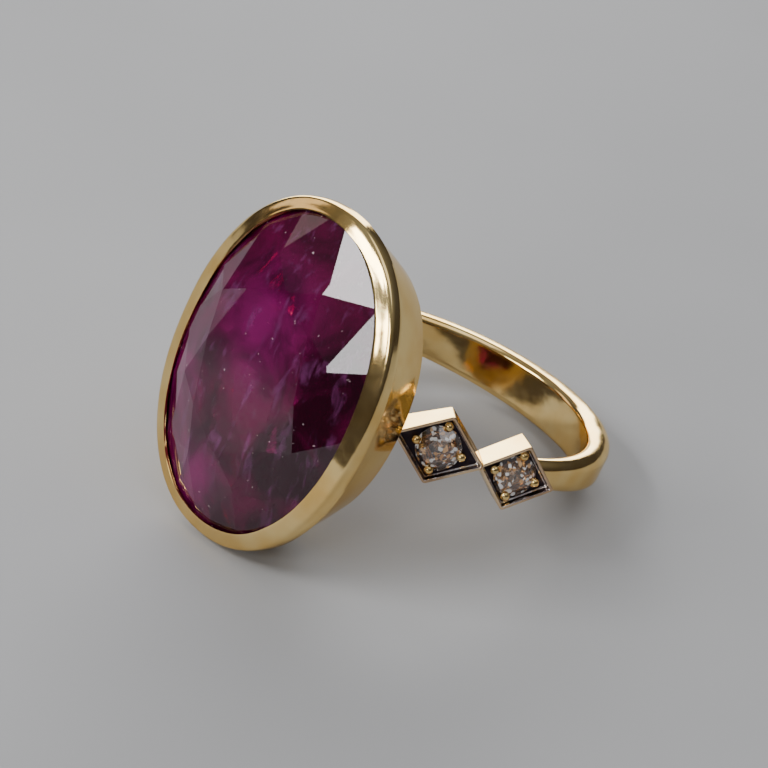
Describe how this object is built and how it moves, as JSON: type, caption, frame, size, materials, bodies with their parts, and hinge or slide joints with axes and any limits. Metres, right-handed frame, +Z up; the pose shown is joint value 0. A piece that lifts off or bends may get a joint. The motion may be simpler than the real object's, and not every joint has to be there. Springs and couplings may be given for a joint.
{
  "type": "cocktail ring",
  "caption": "Finger ring with a large oval stone in a tapered bezel cup, linked lozenge collets with small round diamonds on each shoulder, and a plain band.",
  "frame": {"origin": "centre of the finger hole, half way across the band", "axes": "the ring lies at rest on the rim of its bezel and the edge of its band: +Z is up, +X is level and the stone looks along it and a little upwards, +Y runs across the ring"},
  "size_m": [0.0265, 0.0222, 0.0188],
  "materials": {
    "gold": "polished",
    "ruby": "polished, clouded with fine inclusions",
    "diamond": "polished",
    "blackened_gold": "oxidised, satin"
  },
  "bodies": {
    "root": {"main_stone": "ruby", "bezel": "gold", "bearing_ring": "gold", "base_plate": "gold", "saddle": "gold", "shank": "gold", "right_head_collet": "gold", "right_head_seat_plate": "blackened_gold", "right_head_diamond": "diamond", "right_head_grains": "gold", "right_shank_collet": "gold", "right_shank_seat_plate": "blackened_gold", "right_shank_diamond": "diamond", "right_shank_grains": "gold", "left_head_collet": "gold", "left_head_seat_plate": "blackened_gold", "left_head_diamond": "diamond", "left_head_grains": "gold", "left_shank_collet": "gold", "left_shank_seat_plate": "blackened_gold", "left_shank_diamond": "diamond", "left_shank_grains": "gold"}
  },
  "joints": []
}
